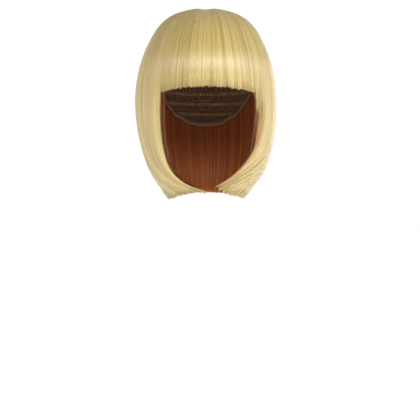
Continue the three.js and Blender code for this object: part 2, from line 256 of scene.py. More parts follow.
thinning = {
    "edgeShare": 0.2,  # of the full thickness, at a free edge
    "edgeWithin": 0.3,  # share of the section's width
    "levelsAboveCorner": 1.6,
    "tipFrom": 0.8,  # share of the strand's length
}


def thicknessAt(strand, level, along, section):
    angle = strandAngle(strand, level, section.get("sweep"))
    skin, out = envelope(angle, level), outward(angle, level)
    full = np.minimum(depthToCap(skin, -out), wigForm["hairDepth"] * formAt("depth", level))
    across = np.clip((strand - section["from"]) / (section["to"] - section["from"]), 0, 1)
    fromFree = {"start": across, "end": 1 - across}[section["free"]] if "sweep" in section else 1.0
    lowered = smoothstep(level, cornerLevel - thinning["levelsAboveCorner"], cornerLevel)
    least, inward = thinning["edgeShare"], smoothstep(fromFree, 0, thinning["edgeWithin"])
    thick = full * (1 + lowered * (least + (1 - least) * inward - 1))
    taper = smoothstep(along, thinning["tipFrom"], 1)
    return thick + (np.minimum(wigForm["tipThickness"], full) - thick) * taper


# Near its hem a curtain's strands gather toward its front edge, which bends them further in

def gathered(strand, level, section, back=False):
    if "gather" not in section:
        return strand
    lowered = np.clip((formAt("down", level) - curtains["gatherFrom"]) / curtains["gatherOver"], 0, 1)
    more = section["gather"] * lowered ** 2
    across = np.clip((strand - section["from"]) / (section["to"] - section["from"]), 0, 1)
    fromFree = across if section["free"] == "start" else 1 - across
    fromFree = fromFree ** (1 / (1 + more) if back else 1 + more)
    across = fromFree if section["free"] == "start" else 1 - fromFree
    return section["from"] + (section["to"] - section["from"]) * across


# Collects the points and faces of one piece, with how the hair flows at each point


class Parts:
    def __init__(self):
        self.points, self.flow, self.normals, self.faces = [], [], [], []
        self.count = 0

    def add(self, points, flow, faces):
        self.points.append(points.reshape(-1, 3))
        self.flow.append(flow.reshape(-1, 3))
        for corners, slot, *normals in faces:
            self.faces.append((corners + self.count, slot))
            self.normals.append(normals[0].reshape(-1, 3) if normals else np.zeros((corners.size, 3)))
        self.count += points.reshape(-1, 3).shape[0]

    def build(self, name, materials):
        mesh = bpy.data.meshes.new(name)
        points = np.concatenate(self.points) * millimetre
        corners = np.concatenate([f.ravel() for f, s in self.faces])
        sizes = np.concatenate([np.full(len(f), f.shape[1]) for f, s in self.faces])
        slots = np.concatenate([np.full(len(f), s) for f, s in self.faces])
        starts = np.concatenate([[0], np.cumsum(sizes)[:-1]])
        mesh.vertices.add(len(points))
        mesh.vertices.foreach_set("co", points.astype(np.float32).ravel())
        mesh.loops.add(len(corners))
        mesh.loops.foreach_set("vertex_index", corners.astype(np.int32))
        mesh.polygons.add(len(sizes))
        mesh.polygons.foreach_set("loop_start", starts.astype(np.int32))
        mesh.polygons.foreach_set("loop_total", sizes.astype(np.int32))
        mesh.polygons.foreach_set("material_index", slots.astype(np.int32))
        mesh.polygons.foreach_set("use_smooth", np.ones(len(sizes), bool))
        for material in materials:
            mesh.materials.append(material)
        mesh.update(calc_edges=True)
        flow = mesh.attributes.new("flow", "FLOAT_VECTOR", "POINT")
        flow.data.foreach_set("vector", np.concatenate(self.flow).astype(np.float32).ravel())
        mesh.normals_split_custom_set(np.concatenate(self.normals))
        piece = bpy.data.objects.new(name, mesh)
        bpy.context.scene.collection.objects.link(piece)
        triangles = int((sizes - 2).sum())
        print("made", name, "with", triangles, "triangles")
        return piece


def gridFaces(rows, columns, offset=0, flip=False):
    i, j = np.meshgrid(np.arange(rows - 1), np.arange(columns - 1), indexing="ij")
    a = offset + i * columns + j
    corners = np.stack([a, a + columns, a + columns + 1, a + 1], axis=-1).reshape(-1, 4)
    return corners[:, ::-1] if flip else corners


# How much darker a strand is painted at given places of a section, where a positive value paints shade and
# a negative one paints a highlight, and how far it is pushed aside at a small gap

def paintedShadingAt(strand, level, section):
    dark, push = np.zeros(np.broadcast(strand, level).shape), 0.0
    for shade in section.get("paintedShading", []):
        away = strand - shade["at"]
        near = 1 - smoothstep(np.abs(away), 0, shade["width"])
        below = smoothstep(level, shade["from"], shade["from"] + 1.5)
        dark = dark + shade["dark"] * near * below
        push = push + shade.get("part", 0.0) * np.sign(away) * near * below
    return dark, push


shell = {
    "edgeGap": 0.15,  # degrees between a shell and its section's border
    "sunk": 0.55,  # below the strands
    # the inner face's tone is low, as painted shade
    "tone": 0.5, "insideShadeTone": 0.1,
}


# Adds the closed shell of a section: its outer face, its inner face and its edges

def addShell(parts, section, columns, rows):
    edgeGap = shell["edgeGap"]
    strand = np.linspace(section["from"] + edgeGap, section["to"] - edgeGap, columns)[None, :]
    across = np.linspace(0, 1, columns)[None, :]
    along = np.linspace(0, 1, rows)[:, None]
    start = section["start"]
    short = section["shellShort"](across) if callable(section["shellShort"]) else section["shellShort"]
    hem = section["hem"](across) - short / levelStep
    level = start + (hem - start) * along
    strand, along = fannedOut(strand, level), np.broadcast_to(along, level.shape)
    cover = section["cover"](strand, level, along) if "cover" in section else np.zeros(level.shape)
    outer, out = surface(strand, level, -shell["sunk"] - cover, section.get("sweep"))
    skin = envelope(strandAngle(strand, level, section.get("sweep")), level)
    thick = section["depth"] if "depth" in section else thicknessAt(strand, level, along, section)
    inner = skin - out * (cover + thick)[..., None]
    source = gathered(strand, level, section, back=True)
    flow = np.stack([source / 10, level / 10, shell["tone"] - paintedShadingAt(source, level, section)[0]], axis=-1)
    flowIn = np.stack([source / 10, level / 10, np.full(level.shape, shell["insideShadeTone"])], axis=-1)
    total = rows * columns
    top, bottom = np.arange(columns), np.arange(columns) + (rows - 1) * columns
    left, right = np.arange(rows) * columns, np.arange(rows) * columns + columns - 1

    def strip(edge, flip):
        corners = np.stack([edge[:-1], edge[1:], edge[1:] + total, edge[:-1] + total], axis=-1)
        return corners[:, ::-1] if flip else corners

    # The inner face and the side walls take slot 1, the dark hair inside, as painted shade
    faces = [
        (gridFaces(rows, columns), 0),
        (gridFaces(rows, columns, total, True), 1),
        (strip(top, False), 0),
        (strip(bottom, True), section.get("hemSlot", 0)),
        (strip(left, True), 1),
        (strip(right, False), 1),
    ]
    parts.add(np.concatenate([outer.reshape(-1, 3), inner.reshape(-1, 3)]),
              np.concatenate([flow.reshape(-1, 3), flowIn.reshape(-1, 3)]), faces)


strandForm = {
    "rootDepth": 1.2,  # how far a root starts below the surface
    "underCover": 0.6,  # extra depth of strands that lie under another section
    "rootWidth": 0.35, "tipLoss": 0.82,  # shares of the strand's width
    "sunkShorter": 8.0,  # how much earlier a strand deep in a free side ends
    "shineTilt": 34.0,  # how far a strand's shading leans at its edges, in degrees
    "round": 0.16, "roundSpread": 0.12,  # height over width
}


# Adds strands: closed, tapered, three-sided and smooth, each with its own width, height and tone

def addStrands(parts, section, wisps, segments, slot=0):
    k = np.linspace(0, 1, segments + 1)[None, :]
    column = lambda name: wisps[name][:, None]
    level = column("start") + (column("end") - column("start")) * k
    drawn = smoothstep(k, column("pullFrom"), 1.0) * column("pull")
    wave = column("wander") * np.sin(k * column("bends") + column("phase")) * smoothstep(k, 0, 0.3)
    dark, push = paintedShadingAt(column("strand"), level, section)
    strand = column("strand") + (column("clump") - column("strand")) * drawn + wave + push
    strand = gathered(strand, level, section)
    rooted = smoothstep(k, 0, 0.1)
    tipped = smoothstep(k, 0.9, 1.0)
    lift = column("lift") * rooted - strandForm["rootDepth"] * (1 - rooted) + column("flick") * tipped
    if section.get("cover"):
        lift = lift - section["cover"](strand, level, k) - strandForm["underCover"]
    if "cover" not in section:
        thick = thicknessAt(strand, level, k, section)
        lift = np.maximum(lift, -0.5 * thick) - column("sink") * thick
    centre, out = surface(strand, level, lift, section.get("sweep"))
    tangent = unit(np.gradient(centre, axis=1))
    sideways = unit(np.cross(tangent, out))
    out = np.cross(sideways, tangent)
    taper = strandForm["rootWidth"] + (1 - strandForm["rootWidth"]) * smoothstep(k, 0, 0.08)
    taper = taper * (1 - strandForm["tipLoss"] * smoothstep(k, column("taperFrom"), 1.0))
    half = (column("width") * taper / 2)[..., None] * sideways
    top = (column("width") * column("round") * taper)[..., None] * out
    ring = np.stack([centre - half, centre + top, centre + half], axis=2)
    tone = column("tone") - dark
    flow = np.stack([np.broadcast_to(column("strand") / 10, level.shape), level / 10, tone], axis=-1)
    flow = np.repeat(flow[:, :, None, :], 3, axis=2)
    tilt = math.radians(strandForm["shineTilt"])
    upright, aside = out * math.cos(tilt), sideways * math.sin(tilt)
    leaning = [upright - aside, out, upright + aside]
    count, rings = level.shape
    base = (np.arange(count)[:, None] * rings + np.arange(rings - 1)[None, :]) * 3
    faces = []
    for a, b in ((0, 1), (1, 2), (2, 0)):
        first, second = (-out, -out) if b == 0 else (leaning[a], leaning[b])
        normals = np.stack([first[:, :-1], second[:, :-1], second[:, 1:], first[:, 1:]], axis=2)
        quads = np.stack([base + a, base + b, base + 3 + b, base + 3 + a], axis=-1)
        faces.append((quads.reshape(-1, 4), slot, normals))
    first = np.arange(count) * rings * 3
    last = first + (rings - 1) * 3
    roots = np.stack([first + 2, first + 1, first], -1)
    tips = np.stack([last, last + 1, last + 2], -1)
    parts.add(ring, flow, [*faces, (np.concatenate([roots, tips]), slot)])


# Draws the strands of a section at random, gathered in clumps, and always the same each run

def drawWisps(look, section, seed):
    rng = np.random.default_rng(seed)
    count = look["count"]
    spread = section["to"] - section["from"]
    strand = section["from"] + spread * (np.arange(count) + rng.random(count)) / count
    strand = strand + rng.normal(0, look["overlap"], count)
    wall = rng.permutation(count)[: look.get("wall", 0)]  # strands that cover the section's free side
    sink = np.zeros(count)
    sink[wall] = rng.random(len(wall)) * look.get("wallDepth", 1.0)
    if len(wall):
        inside = rng.random(len(wall)) * 0.3
        strand[wall] = section["from"] + inside if section["free"] == "start" else section["to"] - inside
    clumpWidth = look["clump"] * (0.3 + 1.4 * rng.random(4000))
    centres = section["from"] - 2 + np.cumsum(clumpWidth)
    centres = centres[centres < section["to"] + 2]
    which = np.abs(strand[:, None] - centres[None, :]).argmin(axis=1)
    across = np.clip((strand - section["from"]) / spread, 0, 1)
    clumpEnd = rng.normal(0, look["clumpRagged"], len(centres))[which]
    landed = gathered(strand, np.full(count, float(len(wigForm["down"]) - 1)), section)
    landed = np.clip((landed - section["from"]) / spread, 0, 1)
    longer = clumpEnd - look["trim"] + rng.normal(0, look["ragged"], count)
    end = section["hem"](landed) + longer / levelStep
    shorter = (rng.random(count) < look["shortShare"]) * rng.random(count) * look["shortBy"]
    end = end - sink * strandForm["sunkShorter"] / levelStep - shorter / levelStep
    start = section["start"] - look["rootSpread"] * rng.random(count) / levelStep
    deep = rng.random(count) < look["deepShare"]
    lift = np.where(deep, -rng.random(count) * look["deepBy"], rng.random(count) ** 1.5 * look["lift"])
    pull = look["pull"] * (0.5 + 0.5 * rng.random(count))
    clump = centres[which]
    pullFrom, taperFrom = np.full(count, 0.45), np.full(count, look["taperFrom"])
    if "locks" in look:
        locks = look["locks"]
        edges = np.array(locks["edges"])
        middles = (edges[1:] + edges[:-1]) / 2
        lock = np.clip(np.searchsorted(edges, strand) - 1, 0, len(middles) - 1)
        inLock = (strand > edges[0]) & (strand < edges[-1]) & (sink == 0)
        clump = np.where(inLock, middles[lock], clump)
        pull = np.where(inLock, locks["pull"] * (0.8 + 0.2 * rng.random(count)), pull)
        longer = np.array(locks["longer"])[lock] + rng.normal(0, locks["ragged"], count)
        end = end + np.where(inLock, longer / levelStep, 0)
        pullFrom = np.where(inLock, locks["pullFrom"], pullFrom)
        taperFrom = np.where(inLock, locks["taperFrom"], taperFrom)
    clumpTone = rng.random(len(centres))[which]
    tone = 0.6 * clumpTone + 0.4 * rng.random(count)
    clump[wall], lift[wall] = strand[wall], 0.0
    # Wall strands deeper in the free side are painted darker: painted shade
    tone[wall] = 0.6 - 1.3 * sink[wall]
    return {
        "strand": strand,
        "clump": clump,
        "pull": pull,
        "pullFrom": pullFrom,
        "start": np.maximum(start, 0.05),
        "end": end,
        "lift": lift,
        "sink": sink,
        "flick": rng.normal(0, look["flick"], count),
        "width": look["width"] * (0.55 + 0.9 * rng.random(count) ** 2),
        "round": strandForm["round"] + strandForm["roundSpread"] * rng.random(count),
        # strands deep under the surface are painted darker: painted shade
        "tone": np.where(deep, tone * 0.5, tone),
        "wander": rng.normal(0, look["wander"], count),
        "bends": 2.5 + 4 * rng.random(count),
        "phase": rng.random(count) * 2 * math.pi,
        "taperFrom": taperFrom,
    }


# Materials

def newMaterial(name):
    material = bpy.data.materials.new(name)
    material.use_nodes = True
    tree = material.node_tree
    tree.nodes.clear()
    output = tree.nodes.new("ShaderNodeOutputMaterial")
    shader = tree.nodes.new("ShaderNodeBsdfPrincipled")
    tree.links.new(shader.outputs["BSDF"], output.inputs["Surface"])
    return material, tree, shader


def link(tree, source, target):
    tree.links.new(source, target)


def mathNode(tree, operation, first, second):
    node = tree.nodes.new("ShaderNodeMath")
    node.operation = operation
    for socket, value in zip(node.inputs, (first, second)):
        if isinstance(value, (int, float)):
            socket.default_value = value
        else:
            link(tree, value, socket)
    return node.outputs[0]


def streaks(tree, coordinates, stretch, detail, seed):
    mapping = tree.nodes.new("ShaderNodeMapping")
    mapping.inputs["Scale"].default_value = stretch
    mapping.inputs["Location"].default_value = (seed * 3.7, seed * 1.3, seed * 2.1)
    link(tree, coordinates, mapping.inputs["Vector"])
    noise = tree.nodes.new("ShaderNodeTexNoise")
    noise.inputs["Scale"].default_value = 1.0
    noise.inputs["Detail"].default_value = detail
    noise.inputs["Roughness"].default_value = 0.55
    link(tree, mapping.outputs["Vector"], noise.inputs["Vector"])
    return noise.outputs["Fac"]


def hairMaterial(look):
    material, tree, shader = newMaterial(look["name"])
    flow = tree.nodes.new("ShaderNodeAttribute")
    flow.attribute_name = "flow"
    split = tree.nodes.new("ShaderNodeSeparateXYZ")
    link(tree, flow.outputs["Vector"], split.inputs[0])
    total = mathNode(tree, "MULTIPLY", split.outputs["Z"], look["strandShare"])
    for number, (stretch, share) in enumerate(look["streaks"]):
        noise = streaks(tree, flow.outputs["Vector"], stretch, 2.0, number + 1)
        total = mathNode(tree, "ADD", total, mathNode(tree, "MULTIPLY", noise, share))
    ramp = tree.nodes.new("ShaderNodeValToRGB")
    ramp.color_ramp.elements.remove(ramp.color_ramp.elements[1])
    for number, (place, colour) in enumerate(look["colours"]):
        stop = ramp.color_ramp.elements[0] if number == 0 else ramp.color_ramp.elements.new(place)
        stop.position = place
        stop.color = (*colour, 1)
    link(tree, total, ramp.inputs["Fac"])
    link(tree, ramp.outputs["Color"], shader.inputs["Base Color"])
    roughness = mathNode(tree, "MULTIPLY_ADD", total, look["roughnessSpread"])
    roughness.node.inputs[2].default_value = look["roughness"] - look["roughnessSpread"] / 2
    link(tree, roughness, shader.inputs["Roughness"])
    around = tree.nodes.new("ShaderNodeTangent")
    around.direction_type = "RADIAL"
    around.axis = "Z"
    link(tree, around.outputs["Tangent"], shader.inputs["Tangent"])
    shader.inputs["Anisotropic"].default_value = look["anisotropic"]
    shader.inputs["Specular IOR Level"].default_value = look["specular"]
    shader.inputs["Sheen Weight"].default_value = look["sheen"]
    shader.inputs["Sheen Roughness"].default_value = 0.4
    return material


blondeLook = {
    "name": "blonde hair",
    "streaks": [
        ((1.1, 0.3, 0.0), 0.22),
        ((3.2, 0.5, 0.0), 0.25),
        ((10.0, 0.9, 0.0), 0.28),
        ((44.0, 1.6, 0.0), 0.25),
    ],
    "strandShare": 0.2,
    # The darkest stops are reached mainly where the painted shading darkens the hair: painted shade
    "colours": [
        (0.24, (0.19, 0.075, 0.012)),
        (0.42, (0.28, 0.175, 0.034)),
        (0.535, (0.33, 0.232, 0.066)),
        (0.615, (0.385, 0.285, 0.091)),
        (0.755, (0.47, 0.37, 0.137)),
    ],
    "roughness": 0.38,
    "roughnessSpread": 0.05,
    "anisotropic": 0.7,
    "specular": 0.8,
    "sheen": 0.6,
}
blonde = hairMaterial(blondeLook)

# At the whorl the strands lie every way, so the crown's gloss has no direction
crownBlonde = hairMaterial({
    **blondeLook,
    "name": "crown hair",
    "roughness": 0.5,
    "anisotropic": 0.1,
    "specular": 0.2,
    "sheen": 0.2,
})

# Painted shade: the inner faces and side walls of the hair get this dark reddish-brown copy of the hair
insideHairShaded = hairMaterial({
    "name": "hair inside",
    "streaks": [((5.0, 0.5, 0.0), 0.5), ((14.0, 0.9, 0.0), 0.4), ((44.0, 1.4, 0.0), 0.2)],
    "strandShare": 0.2,
    "colours": [
        (0.25, (0.07, 0.014, 0.004)),
        (0.55, (0.21, 0.052, 0.014)),
        (0.95, (0.46, 0.18, 0.055)),
    ],
    "roughness": 0.62,
    "roughnessSpread": 0.1,
    "anisotropic": 0.3,
    "specular": 0.15,
    "sheen": 0.0,
})

# Painted shade: a dark brown copy of the hair, for hair that lies in shadow
shadedHair = hairMaterial({
    "name": "shaded hair",
    "streaks": [((8.0, 0.6, 0.0), 0.3), ((24.0, 1.2, 0.0), 0.3)],
    "strandShare": 0.6,
    "colours": [
        (0.35, (0.05, 0.014, 0.004)),
        (0.62, (0.10, 0.033, 0.011)),
        (0.85, (0.40, 0.22, 0.075)),
    ],
    "roughness": 0.55,
    "roughnessSpread": 0.1,
    "anisotropic": 0.4,
    "specular": 0.15,
    "sheen": 0.0,
})

print("materials made")


# The sections of hair

def table(xs, ys):
    return lambda across: np.interp(across, xs, ys)


fringeHem = lambda across: levelOfFall(107.0 + 7.0 * np.abs(2 * across - 1) ** 2.4)
leftReach = table([0, 0.11, 0.24, 0.4, 0.56, 0.8, 1], [245.0, 247.6, 251.2, 255.6, 257.0, 256.3, 252.0])
rightTips = table(
    [0, 0.04, 0.09, 0.2, 0.45, 0.65, 0.8, 1],
    [238.0, 243.0, 248.0, 252.5, 256.2, 257.0, 256.2, 252.0],
)
napeReach = lambda across: 252.0 - 6.0 * (1 - np.abs(2 * across - 1) ** 2)
shellStart = crownLevel - 0.25

sections = {
    "fringe": {
        "node": "fringe",
        # Painted shade: the fringe's left corner is painted darker, and so are the small gaps where its
        # strands part
        "paintedShading": [
            {"at": -34.0, "width": 12.0, "dark": 0.35, "from": 4.6},
            {"at": -18.4, "width": 1.2, "dark": 0.6, "from": 4.9, "part": 0.3},
            {"at": -5.5, "width": 0.8, "dark": 0.3, "from": 5.1, "part": 0.15},
            {"at": 4.0, "width": 1.1, "dark": 0.6, "from": 5.0, "part": 0.3},
            {"at": 17.5, "width": 1.0, "dark": 0.5, "from": 5.0, "part": 0.2},
            {"at": 31.0, "width": 0.8, "dark": 0.3, "from": 5.1, "part": 0.15},
        ],
        "from": -39.0, "to": 44.4,
        "start": shellStart,
        "hem": fringeHem,
        "shellShort": 1.5,
        "columns": 190, "rows": 34,
        "look": {
            "trim": 0.3, "count": 1750, "overlap": 0.35, "clump": 1.9, "clumpRagged": 0.35, "ragged": 0.35,
            "shortShare": 0.06, "shortBy": 9.0, "rootSpread": 20.0, "deepShare": 0.25, "deepBy": 6.0,
            "lift": 0.35, "pull": 0.25, "flick": 0.25, "width": 0.85, "wander": 0.05, "taperFrom": 0.93,
        },
        "segments": 12,
    },
    "faceLock": {
        "node": "right_face_lock",
        "from": 44.4, "to": 51.5,
        "free": "start",
        # Painted shade: the lower part of the lock's inner edge is painted darker
        "paintedShading": [{"at": 49.5, "width": 5.0, "dark": 0.7, "from": 5.6}],
        "start": shellStart,
        "hem": lambda across: levelOfFall(114.0 + 34.0 * np.sqrt(0.25 + 0.75 * across)),
        "shellShort": 4.0,
        "columns": 24, "rows": 40,
        "look": {
            "trim": 0.5, "wall": 80, "wallDepth": 0.35,
            "count": 340, "overlap": 0.5, "clump": 2.2, "clumpRagged": 3.0, "ragged": 1.6,
            "shortShare": 0.3, "shortBy": 14.0, "rootSpread": 20.0, "deepShare": 0.3, "deepBy": 4.0,
            "lift": 0.35, "pull": 0.6, "flick": 0.4, "width": 0.85, "wander": 0.06, "taperFrom": 0.8,
        },
        "segments": 14,
    },
    "leftCurtain": {
        "node": "left_curtain",
        "from": -128.0, "to": -39.0,
        "sweep": "left",
        "gather": 1.2,
        "start": shellStart,
        "hem": lambda across: levelOfFall(leftReach(1 - across)),
        "shellShort": table([0, 0.75, 0.9, 1], [2.2, 2.6, 4.0, 4.0]),
        "columns": 170, "rows": 56,
        "free": "end",
        # Painted highlight in the pale bands along the front edge and at -68; painted shade in the darker
        # lines near the locks' borders and at -80
        "paintedShading": [
            {"at": -43.0, "width": 4.0, "dark": -0.5, "from": 6.5},
            {"at": -41.0, "width": 6.0, "dark": -0.9, "from": 9.0},
            {"at": -49.5, "width": 1.6, "dark": 0.8, "from": 9.0},
            {"at": -57.0, "width": 2.6, "dark": 0.8, "from": 8.0},
            {"at": -68.0, "width": 3.0, "dark": -0.4, "from": 8.0},
            {"at": -80.0, "width": 5.0, "dark": 0.5, "from": 7.0},
        ],
        "look": {
            "trim": 1.6, "wall": 150,
            "count": 1060, "overlap": 0.35, "clump": 2.2, "clumpRagged": 0.35, "ragged": 0.3,
            "shortShare": 0.06, "shortBy": 8.0, "rootSpread": 20.0, "deepShare": 0.15, "deepBy": 5.0,
            "lift": 0.35, "pull": 0.3, "flick": 0.2, "width": 0.95, "wander": 0.05, "taperFrom": 0.95,
            "locks": {
                "edges": [-56.0, -48.0, -39.0], "longer": [0.0, 1.0], "ragged": 2.2,
                "pull": 0.3, "pullFrom": 0.7, "taperFrom": 0.9,
            },
        },
        "segments": 24,
    },
    "rightCurtain": {
        "node": "right_curtain",
        "from": 51.5, "to": 128.0,
        "sweep": "right",
        "gather": 2.4,
        "start": shellStart,
        "hem": lambda across: levelOfFall(rightTips(across)),
        "shellShort": table([0, 0.1, 0.3, 1], [7.0, 5.5, 3.2, 3.0]),
        "columns": 160, "rows": 56,
        "free": "start",
        # Painted shade: the front edge is painted orange-brown where it turns in, and darker lines run
        # between the locks
        "paintedShading": [
            {"at": 51.5, "width": 5.0, "dark": 1.2, "from": 6.9},
            {"at": 57.0, "width": 1.5, "dark": 0.8, "from": 10.5},
            {"at": 64.0, "width": 2.0, "dark": 1.0, "from": 10.5},
            {"at": 73.0, "width": 2.5, "dark": 0.8, "from": 9.0},
        ],
        "look": {
            "trim": 2.4, "wall": 150,
            "count": 1020, "overlap": 0.35, "clump": 2.6, "clumpRagged": 0.35, "ragged": 0.35,
            "shortShare": 0.08, "shortBy": 10.0, "rootSpread": 20.0, "deepShare": 0.15, "deepBy": 5.0,
            "lift": 0.35, "pull": 0.45, "flick": 0.25, "width": 0.95, "wander": 0.06, "taperFrom": 0.95,
            "locks": {
                "edges": [51.5, 57.0, 64.0, 73.0, 84.0], "longer": [0.5, 2.5, 0.5, 1.5], "ragged": 1.2,
                "pull": 0.5, "pullFrom": 0.76, "taperFrom": 0.87,
            },
        },
        "segments": 24,
    },
    "back": {
        "node": "back_hair",
        "from": 128.0, "to": 232.0,
        "start": shellStart,
        "hem": lambda across: levelOfFall(napeReach(across)),
        # The hem wall takes slot 1, the dark hair inside: painted shade
        "hemSlot": 1,
        "shellShort": 1.5,
        "columns": 180, "rows": 52,
        "look": {
            "trim": 1.4, "count": 1150, "overlap": 0.35, "clump": 2.4, "clumpRagged": 0.5, "ragged": 0.5,
            "shortShare": 0.06, "shortBy": 8.0, "rootSpread": 20.0, "deepShare": 0.12, "deepBy": 5.0,
            "lift": 0.35, "pull": 0.35, "flick": 0.2, "width": 0.95, "wander": 0.06, "taperFrom": 0.93,
        },
        "segments": 22,
    },
}

# Shaded strands that fall from under the face lock and join the right curtain's front edge

edgeStrands = {
    "section": "rightCurtain",
    "count": 100,
    "ahead": 9.0,  # degrees past the curtain's front edge
    "start": 120.0, "startSpread": 12.0,
    "end": 170.0, "endSpread": 45.0,
    "lift": -0.3, "behind": 1.0,
    "segments": 10,
    "seed": 190,
}


def edgeWisps(section):
    look = edgeStrands
    rng = np.random.default_rng(look["seed"])
    count = look["count"]
    ahead = rng.random(count) ** 1.5
    return {
        "strand": section["from"] - look["ahead"] * ahead,
        "clump": section["from"] + 1.0 + 2 * rng.random(count),
        "pull": np.ones(count),
        "pullFrom": 0.15 + 0.3 * rng.random(count),
        "start": levelOfFall(look["start"] + look["startSpread"] * rng.random(count)),
        "end": levelOfFall(look["end"] + look["endSpread"] * rng.random(count)),
        "lift": look["lift"] - look["behind"] * ahead,
        "flick": np.zeros(count),
        "width": 0.5 + 0.5 * rng.random(count),
        "round": strandForm["round"] + strandForm["roundSpread"] * rng.random(count),
        # strands further past the edge, behind the lock, are painted darker: painted shade
        "tone": 0.82 + 0.25 * rng.random(count) - 0.6 * ahead,
        "wander": rng.normal(0, 0.25, count),
        "bends": 2 + 2 * rng.random(count),
        "phase": rng.random(count) * 2 * math.pi,
        "taperFrom": np.full(count, 0.8),
    }


# Each section becomes one piece that stands for its solid

def placePiece(piece, node):
    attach(piece, "root")
    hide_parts(node)


for number, (name, section) in enumerate(sections.items()):
    parts = Parts()
    addShell(parts, section, section["columns"], section["rows"])
    wisps = drawWisps(section["look"], section, 100 + number)
    addStrands(parts, section, wisps, section["segments"])
    if name == edgeStrands["section"]:
        free = {"sweep": section["sweep"], "cover": None}
        addStrands(parts, free, edgeWisps(section), edgeStrands["segments"], slot=2)
    placePiece(parts.build(name + "Hair", [blonde, insideHairShaded, shadedHair]), section["node"])


# The layer inside the left curtain, painted in shade with the shaded hair

underLayer = {
    "ahead": 2.8,  # degrees past the curtain's own front edge
    "covered": 0.45,  # share of the curtain that it lies under
    "topFall": 108.0,
    "tipRise": 7.0,
    "depth": 3.4,
    "clearance": 1.0,
    "columns": 60, "rows": 40,
    "segments": 12,
    "seed": 170,
}


def underHem(across):
    return levelOfFall(leftReach(underLayer["covered"] * (1 - across))) - underLayer["tipRise"] / levelStep


def underCover(strand, level, along):
    over = sections["leftCurtain"]
    across = np.clip((strand - over["from"]) / (over["to"] - over["from"]), 0, 1)
    down = (level - crownLevel) / (over["hem"](across) - crownLevel)
    return thicknessAt(strand, level, down, over) + underLayer["clearance"]


curtainEdge = sections["leftCurtain"]["to"]
underSection = {
    "from": curtainEdge - (curtains["backAngle"] + curtainEdge) * underLayer["covered"],
    "to": curtainEdge + underLayer["ahead"],
    "sweep": "left",
    "start": float(levelOfFall(underLayer["topFall"])),
    "hem": underHem,
    "cover": underCover,
    "depth": underLayer["depth"],
    "shellShort": 3.0,
}
underLook = {
    "trim": 0.0, "count": 420, "overlap": 0.4, "clump": 1.8, "clumpRagged": 2.5, "ragged": 2.5,
    "shortShare": 0.3, "shortBy": 20.0, "rootSpread": 4.0, "deepShare": 0.3, "deepBy": 2.0,
    "lift": 0.35, "pull": 0.5, "flick": 0.1, "width": 0.9, "wander": 0.1, "taperFrom": 0.85,
}


parts = Parts()
addShell(parts, underSection, underLayer["columns"], underLayer["rows"])
underWisps = drawWisps(underLook, underSection, underLayer["seed"])
addStrands(parts, underSection, underWisps, underLayer["segments"])
placePiece(parts.build("leftUnderLayer", [shadedHair, insideHairShaded]), "left_under_layer")


# The crown: strands spread from the whorl and end over the tops of the sections

crown = {
    "count": 2200,
    "reach": 48.0,  # how far the longest lie over the sections
    "width": 0.85,
    "lift": 0.35,
    "columns": 200,
    "rows": 16,
    "segments": 9,
    "sunk": 0.5,  # how far the shell lies below its strands
    "shellTone": 0.35,
    "seed": 180,
}


def addBowl(parts, outer, inner, flow, innerSlot):
    rows, columns = flow.shape[:2]
    total = rows * columns
    rim = np.arange(columns) + (rows - 1) * columns
    wall = np.stack([rim[:-1] + total, rim[1:] + total, rim[1:], rim[:-1]], axis=-1)
    parts.add(
        np.concatenate([outer.reshape(-1, 3), inner.reshape(-1, 3)]),
        np.concatenate([flow.reshape(-1, 3)] * 2),
        [(gridFaces(rows, columns), 0), (gridFaces(rows, columns, total, True), innerSlot), (wall, 0)],
    )


def crownShell(parts):
    shape = (crown["rows"], crown["columns"] + 1)
    strand = np.broadcast_to(np.linspace(-180, 180, shape[1])[None, :], shape)
    level = np.broadcast_to(np.linspace(0.0, crownLevel, shape[0])[:, None], shape)
    outer, out = surface(strand, level, np.full(shape, -crown["sunk"]))
    outer[0] = outer[0].mean(axis=0)
    outer[:, -1] = outer[:, 0]
    skin = envelope(strandAngle(strand, level), level)
    thick = np.minimum(depthToCap(skin, -out), wigForm["hairDepth"])
    inner = skin - out * thick[..., None]
    inner[0] = inner[0].mean(axis=0)
    inner[:, -1] = inner[:, 0]
    flow = np.stack([strand / 10, level / 10, np.full(shape, crown["shellTone"])], axis=-1)
    addBowl(parts, outer, inner, flow, 1)


def crownWisps(seed):
    rng = np.random.default_rng(seed)
    count = crown["count"]
    strand = -180 + 360 * (np.arange(count) + rng.random(count)) / count
    start = crownLevel * rng.random(count) ** 0.6 * 0.9
    end = crownLevel + crown["reach"] / levelStep * (0.2 + 0.8 * rng.random(count))
    return {
        "strand": strand,
        "clump": strand + rng.normal(0, 0.8, count),
        "pull": np.ones(count),
        "pullFrom": np.full(count, 0.45),
        "start": np.maximum(start, 0.02),
        "end": end,
        "lift": rng.random(count) * crown["lift"],
        "flick": np.full(count, -0.7),
        "width": crown["width"] * (0.5 + 0.8 * rng.random(count)),
        "round": strandForm["round"] + strandForm["roundSpread"] * rng.random(count),
        "tone": 0.3 + 0.5 * rng.random(count),
        "wander": rng.normal(0, 0.25, count),
        "bends": 2 + 3 * rng.random(count),
        "phase": rng.random(count) * 2 * math.pi,
        "taperFrom": np.full(count, 0.7),
    }


parts = Parts()
crownShell(parts)
addStrands(parts, {"cover": None}, crownWisps(crown["seed"]), crown["segments"])
placePiece(parts.build("crownHair", [crownBlonde, insideHairShaded]), "crown")


# The cap: a net over the head, bound along its edge

